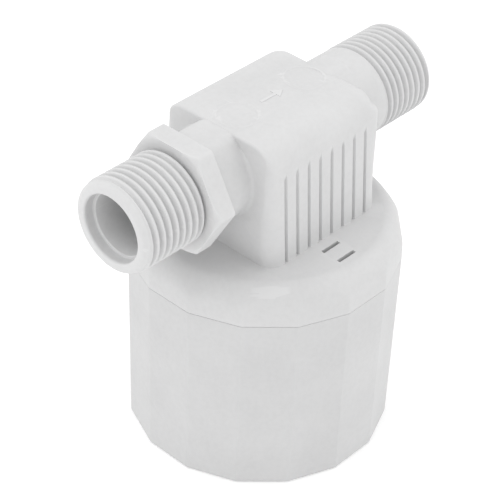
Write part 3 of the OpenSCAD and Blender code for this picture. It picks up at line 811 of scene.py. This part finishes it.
# ---------------------------------------------------------------- block
def block_profile():
    """Points up one leaning side, over the top and down the other.

    Each is (y, z, rounding at the inlet end, rounding at the outlet end).
    """
    edge_z = BLOCK_TOP_Z - LONG_EDGE_R
    flat_y = BLOCK_HALF_W - LONG_EDGE_R
    foot_z = CAP_TOP_Z
    side = []
    for t in np.linspace(0, 1, 46):
        corner = CORNER_R + (TOP_CORNER_R - CORNER_R) * float(smooth_step(t, 0.2, 1.0))
        y = FOOT_HALF_W + (BLOCK_HALF_W - FOOT_HALF_W) * t
        side.append((y, foot_z + (edge_z - foot_z) * t, corner, corner))
    for angle in np.linspace(0, 90, 15)[1:]:
        a = math.radians(angle)
        inlet = TOP_CORNER_R + (INLET_EDGE_R - TOP_CORNER_R) * float(smooth_step(angle, 0, 45))
        outlet = TOP_CORNER_R + (OUTLET_EDGE_R - TOP_CORNER_R) * float(smooth_step(angle, 0, 35))
        y = flat_y + LONG_EDGE_R * math.cos(a)
        side.append((y, edge_z + LONG_EDGE_R * math.sin(a), inlet, outlet))
    top = [(flat_y * t, BLOCK_TOP_Z, INLET_EDGE_R, OUTLET_EDGE_R) for t in (0.75, 0.5, 0.25)]
    half = side + top
    other = [(-y, z, inlet, outlet) for y, z, inlet, outlet in reversed(half)]
    return half + [(0.0, BLOCK_TOP_Z, INLET_EDGE_R, OUTLET_EDGE_R)] + other


def groove_centres():
    middle = (GROOVE_COUNT - 1) / 2
    return [GROOVE_MID_X + (i - middle) * GROOVE_PITCH for i in range(GROOVE_COUNT)]


def groove_depth(x, y, z):
    """How deep the nearest upright groove cuts into the side wall at a point."""
    if z > GROOVE_TOP_Z:
        return 0.0
    fade = float(smooth_step(GROOVE_TOP_Z - z, 0, GROOVE_FADE))
    depth = fade * (GROOVE_DEPTH + GROOVE_DEEPENING * (abs(y) - GROOVE_MID_Y))
    away = min(abs(x - c) for c in groove_centres())
    width = 0.6 + 0.4 * fade
    return depth * (1 - float(smooth_step(away, GROOVE_FLOOR_HALF_W * width, GROOVE_HALF_W * width)))


def block_stations():
    """Places along the block, close together across each groove."""
    steps = (0.0, 0.1, 0.2, 0.3, 0.4, 0.5, 0.62, 0.95)
    places = {round(c + side * s, 4) for c in groove_centres() for s in steps for side in (-1, 1)}
    return sorted(p for p in places if BLOCK_IN_X + CORNER_R < p < BLOCK_OUT_X - CORNER_R)


def make_block():
    """The block as one skin over its profile, with grooved sides and rounded ends."""
    profile = block_profile()
    stations = block_stations()
    start_x = BLOCK_IN_X + CORNER_R
    full_l = BLOCK_OUT_X - CORNER_R - start_x
    turns = np.radians(np.linspace(0, 90, 9))
    columns = []
    for sign, angles in ((-1, reversed(turns)), (0, stations), (1, turns)):
        for value in angles:
            column = []
            for i, (y, z, inlet, outlet) in enumerate(profile):
                before = profile[max(i - 1, 0)]
                after = profile[min(i + 1, len(profile) - 1)]
                tangent = np.array((after[0] - before[0], after[1] - before[1]))
                tangent /= np.linalg.norm(tangent)
                inward = np.array((tangent[1], -tangent[0]))
                if inward @ np.array((y, z - BLOCK_MID_Z)) > 0:
                    inward = -inward
                if z <= CAP_TOP_Z + 1e-6:
                    inward = np.array((-math.copysign(1, y), 0.0))
                if sign:
                    corner, end_x = (inlet, BLOCK_IN_X) if sign < 0 else (outlet, BLOCK_OUT_X)
                    x = end_x - sign * corner * (1 - math.sin(value))
                    away = corner * (1 - math.cos(value))
                else:
                    along = (value - start_x) / full_l
                    low_x = BLOCK_IN_X + max(inlet, CORNER_R)
                    x = low_x + along * (BLOCK_OUT_X - max(outlet, CORNER_R) - low_x)
                    away = groove_depth(x, y, z)
                column.append((x, y + inward[0] * away, z + inward[1] * away))
            columns.append(column)
    vertices, faces = skin_open(columns)
    return new_object("block", vertices, faces, sharp=34)


def skin_open(columns):
    """A skin through open columns, closed by flat faces at its two ends and underneath."""
    rows = len(columns[0])
    vertices = np.concatenate([np.asarray(c, float) for c in columns])
    faces = []
    for i in range(len(columns) - 1):
        for j in range(rows - 1):
            here = i * rows + j
            there = here + rows
            faces.append((here, here + 1, there + 1, there))
    last = (len(columns) - 1) * rows
    faces.append(tuple(range(rows)))
    faces.append(tuple(last + j for j in reversed(range(rows))))
    near = [i * rows for i in range(len(columns))]
    far = [i * rows + rows - 1 for i in range(len(columns))]
    faces.append(tuple(near + far[::-1]))
    return vertices, faces


def make_marks():
    """Two raised rings and a plain flow arrow on the block's top."""
    in_r = MARK_R - MARK_W
    root_z = BLOCK_TOP_Z - 0.3
    slope_w = 0.22
    marks = []
    for sign in (-1, 1):
        outline = [
            (in_r, root_z),
            (MARK_R, root_z),
            (MARK_R, BLOCK_TOP_Z),
            (MARK_R - slope_w, BLOCK_TOP_Z + MARK_T),
            (in_r + slope_w, BLOCK_TOP_Z + MARK_T),
            (in_r, BLOCK_TOP_Z),
        ]
        marks.append(lathe("mark", outline, 96, centre=(sign * MARK_X, 0.0)))
    tail_x, neck_x, tip_x = -3.2, 1.2, 3.6
    shaft, barb = 0.35, 1.5
    corners = [(tail_x, -shaft), (neck_x, -shaft), (neck_x, -barb), (tip_x, 0.0)]
    corners += [(neck_x, barb), (neck_x, shaft), (tail_x, shaft)]
    outline = filleted([(x, y, 0.12) for x, y in corners], 4)
    levels = (root_z, BLOCK_TOP_Z + MARK_T)
    vertices, faces = skin([[(x, y, z) for x, y in outline] for z in levels])
    marks.append(new_object("arrow", vertices, faces))
    return marks


def make_passages():
    """The hollows inside the block: bores, the nipple's socket, the chamber and screw holes."""
    mouth = BODY_HIGH[0]
    outlet = [(BORE_R, -5.0), (BORE_R, mouth - 0.5), (BORE_R + 1.4, mouth + 0.9)]
    cuts = [
        lathe("outlet", outlet, 96, axis="x", wrap=False),
        lathe("socket", [(SOCKET_R, -30.0), (SOCKET_R, SOCKET_END_X)], 96, axis="x", wrap=False),
        lathe("passage", [(BORE_R, -12.5), (BORE_R, -7.0)], 96, axis="x", wrap=False),
    ]
    axis_r = 0.001
    below_z = 54.0
    chamber = [(axis_r, below_z), (FLANGE_R, below_z), (FLANGE_R, FLANGE_TOP_Z)]
    chamber += [(SEAL_SEAT_R, FLANGE_TOP_Z), (SEAL_SEAT_R, SEAL_SEAT_TOP_Z)]
    chamber += [(GALLERY_R, SEAL_SEAT_TOP_Z), (GALLERY_R, GALLERY_TOP_Z)]
    chamber += [(SEAT_OUT_R, GALLERY_TOP_Z), (SEAT_OUT_R, SEAT_Z), (SEAT_R, SEAT_Z)]
    chamber += [(SEAT_R, SEAT_HOLE_TOP_Z), (axis_r, SEAT_HOLE_TOP_Z)]
    cuts.append(lathe("chamber", chamber, 96, wrap=False))
    cuts.append(rounded_box("port", PORT_LOW, (*PORT_HIGH_XY, PIPE_Z), 0.3))
    for sx in (-1, 1):
        for sy in (-1, 1):
            hole = [(SCREW_PILOT_R, below_z), (SCREW_PILOT_R, SCREW_PILOT_TOP_Z)]
            cuts.append(lathe("hole", hole, 32, centre=(sx * SCREW_XY, sy * SCREW_XY), wrap=False))
    return cuts


def make_valve_body():
    body = make_block()
    body.name = "valve_block"
    boolean(body, [make_spigot(), make_boss(), *make_marks()], "UNION", sharp=36)
    boolean(body, make_passages(), "DIFFERENCE", sharp=36)
    return finish_piece(body, "body", "body_plastic", "valve_body")


# ---------------------------------------------------------------- small parts
def make_ring(name, body, slot, node, mid_r, wire_r, place, axis="z", flash=0.04):
    """An O-ring with the thin mould flash that runs round its inner and outer edge."""
    outline = []
    for t in np.radians(np.arange(0, 360, 15)):
        bulge = flash * max(0.0, abs(math.cos(t)) ** 24)
        radius = wire_r - flash + bulge
        outline.append((mid_r + radius * math.cos(t), place + radius * math.sin(t)))
    ring = lathe(name, outline, 160, axis=axis, sharp=60)
    return finish_piece(ring, body, slot, node)


def make_spring():
    """The piston's coil spring, with its end turns closed and ground flat."""
    steps = 40
    sides = 10
    mid_r = SPRING_HIGH[0] - SPRING_WIRE_R
    low = SPRING_LOW[2] + SPRING_WIRE_R
    high = SPRING_HIGH[2] - SPRING_WIRE_R
    upward = np.array((0, 0, 1.0))
    rings = []
    total = int(SPRING_TURNS * steps)
    for i in range(total + 1):
        t = i / total
        rise = float(smooth_step(t, 0.12, 0.88))
        angle = 2 * math.pi * SPRING_TURNS * t
        out = np.array((math.cos(angle), math.sin(angle), 0.0))
        centre = out * mid_r + upward * (low + (high - low) * rise)
        ring = []
        for a in np.arange(sides) * 2 * math.pi / sides:
            ring.append(centre + SPRING_WIRE_R * (out * math.cos(a) + upward * math.sin(a)))
        rings.append(ring)
    vertices, faces = skin(rings)
    spring = new_object("piston_coil", vertices, faces, sharp=50)
    finish_piece(spring, "body", "spring_steel", "piston_spring")
    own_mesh(spring)


def make_float():
    """The float's tub and its lid, welded round the rim."""
    r = SHELL_HIGH[0]
    z0, z1 = SHELL_LOW[2], SHELL_HIGH[2]
    wall = 1.3
    dish_z = z0 + 0.5
    step_r = r - 0.25
    gate_r = 0.4
    tub = filleted([
        (gate_r, dish_z, 0),
        (7.0, dish_z, 0.3),
        (8.0, z0, 0.3),
        (r, z0, 2.0),
        (r, z1 - 1.2, 0.2),
        (step_r, z1 - 1.0, 0.1),
        (step_r, z1, 0),
        (r - wall, z1, 0),
        (r - wall, z0 + wall, 1.0),
        (gate_r, z0 + wall, 0),
    ])
    shell = lathe("float_tub", tub, 160, sharp=36)
    finish_piece(shell, "float", "float_plastic", "float_shell")
    top = LID_HIGH[2]
    plate_z = z1 + 1.6
    under_z = z1 - 0.1
    dip_z = plate_z - 0.35
    rim_in_r, rim_out_r = 20.7, 22.1
    lid = filleted([
        (gate_r, under_z, 0),
        (rim_in_r, under_z, 0.2),
        (rim_in_r, LID_LOW[2], 0),
        (rim_out_r, LID_LOW[2], 0.3),
        (rim_out_r, z1, 0),
        (r, z1, 0.15),
        (r, plate_z, 0.6),
        (19.5, plate_z, 0.4),
        (19.2, dip_z, 0.2),
        (6.0, dip_z, 0.2),
        (5.6, plate_z, 0.3),
        (gate_r, plate_z, 0),
    ])
    cover = lathe("float_cover", lid, 160, sharp=36)
    stem_x = (STEM_LOW[0] + STEM_HIGH[0]) / 2
    foot_r, collar_r, hole_r, axis_r = 4.4, 3.6, 2.24, 0.01
    collar = filleted([
        (axis_r, plate_z - 1.0, 0),
        (foot_r, plate_z - 1.0, 0),
        (foot_r, plate_z - 0.2, 0.4),
        (collar_r, plate_z + 0.4, 0.4),
        (collar_r, top, 0.3),
        (2.6, top, 0.1),
        (hole_r, top - 0.4, 0),
        (hole_r, z1 + 0.6, 0),
        (axis_r, z1 + 0.6, 0),
    ])
    boss = lathe("collar", collar, 64, centre=(stem_x, 0.0))
    web_half_w = 0.4
    webs = []
    for i in range(8):
        angle = math.radians(22.5 + 45 * i)
        low = (6.5, -web_half_w, z1 + 0.8)
        web = rounded_box("web", low, (18.8, web_half_w, plate_z - 0.05), 0.2)
        web.data.transform(Matrix.Rotation(angle, 4, "Z"))
        webs.append(web)
    boolean(cover, [boss, *webs], "UNION", sharp=36)
    finish_piece(cover, "float", "float_plastic", "float_lid")


def dress_cad_nodes():
    """CAD pieces that stay are given their material."""
    finishes = {s["node"]: s["material_slot"] for s in frame["record"]["subparts"]}
    for name, obj in frame["nodes"].items():
        if obj.hide_render:
            continue
        obj.data.materials.clear()
        obj.data.materials.append(MATERIALS[finishes[name]])


# ---------------------------------------------------------------- stage
def make_floor():
    """A pale floor. It goes down with the cup, so that a lowered cup still stands on it."""
    half = 3000.0
    vertices = [(-half, -half, 0), (half, -half, 0), (half, half, 0), (-half, half, 0)]
    floor = new_object("floor", vertices, [(0, 1, 2, 3)])
    paper = bpy.data.materials.new("paper")
    paper.use_nodes = True
    shader = paper.node_tree.nodes["Principled BSDF"]
    shader.inputs["Base Color"].default_value = (0.95, 0.95, 0.95, 1.0)
    shader.inputs["Emission Color"].default_value = (1.0, 1.0, 1.0, 1.0)
    shader.inputs["Emission Strength"].default_value = 0.12
    shader.inputs["Roughness"].default_value = 0.9
    shader.inputs["Specular IOR Level"].default_value = 0.0
    floor.data.materials.append(paper)
    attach(floor, "cup")


def add_area(name, direction, distance, size, power):
    """A soft square light that faces the object."""
    data = bpy.data.lights.new(name, "AREA")
    data.shape = "SQUARE"
    data.size = size * MM
    data.energy = power
    lamp = bpy.data.objects.new(name, data)
    aim = Vector((0.0, 0.0, 45.0)) * MM
    away = Vector(direction).normalized()
    lamp.location = aim + away * distance * MM
    lamp.rotation_euler = away.to_track_quat("Z", "Y").to_euler()
    bpy.context.scene.collection.objects.link(lamp)


def make_light():
    world = bpy.data.worlds.new("studio")
    bpy.context.scene.world = world
    world.use_nodes = True
    background = world.node_tree.nodes["Background"]
    background.inputs["Color"].default_value = (1.0, 1.0, 1.0, 1.0)
    background.inputs["Strength"].default_value = 1.0
    add_area("key", (-0.55, 0.35, 1.0), 700, 600, 1.2)
    add_area("fill", (0.9, -0.5, 0.6), 800, 700, 1.2)
    view = bpy.context.scene.view_settings
    view.view_transform = "Standard"
    view.look = "None"
    view.exposure = 0.0
    view.gamma = 1.0


def make_camera():
    data = bpy.data.cameras.new("camera")
    data.sensor_width = SENSOR_W
    data.lens = CAMERA_LENS
    data.clip_start = 0.01
    data.clip_end = 20.0
    camera = bpy.data.objects.new("camera", data)
    a, e = CAMERA_AZIMUTH, CAMERA_ELEVATION
    back = Vector((math.sin(a) * math.cos(e), -math.cos(a) * math.cos(e), math.sin(e)))
    right = Vector((math.cos(a), math.sin(a), 0.0))
    up = back.cross(right)
    across = right * math.cos(CAMERA_ROLL) + up * math.sin(CAMERA_ROLL)
    upward = up * math.cos(CAMERA_ROLL) - right * math.sin(CAMERA_ROLL)
    pose = Matrix((across, upward, back)).transposed().to_4x4()
    pose.translation = (CAMERA_AIM + back * CAMERA_DISTANCE) * MM
    camera.matrix_world = pose
    bpy.context.scene.collection.objects.link(camera)
    bpy.context.scene.camera = camera


make_camera()
make_light()
make_floor()
make_cup()
make_cap()
make_nipple()
make_valve_body()
make_ring("nipple_seal", "body", "seal_rubber", "nipple_oring", *NIPPLE_SEAL, axis="x")
make_ring("bonnet_seal", "body", "seal_rubber", "bonnet_oring", *BONNET_SEAL)
make_ring("cap_seal", "body", "seal_rubber", "cap_oring", *CAP_SEAL)
make_spring()
make_float()
dress_cad_nodes()
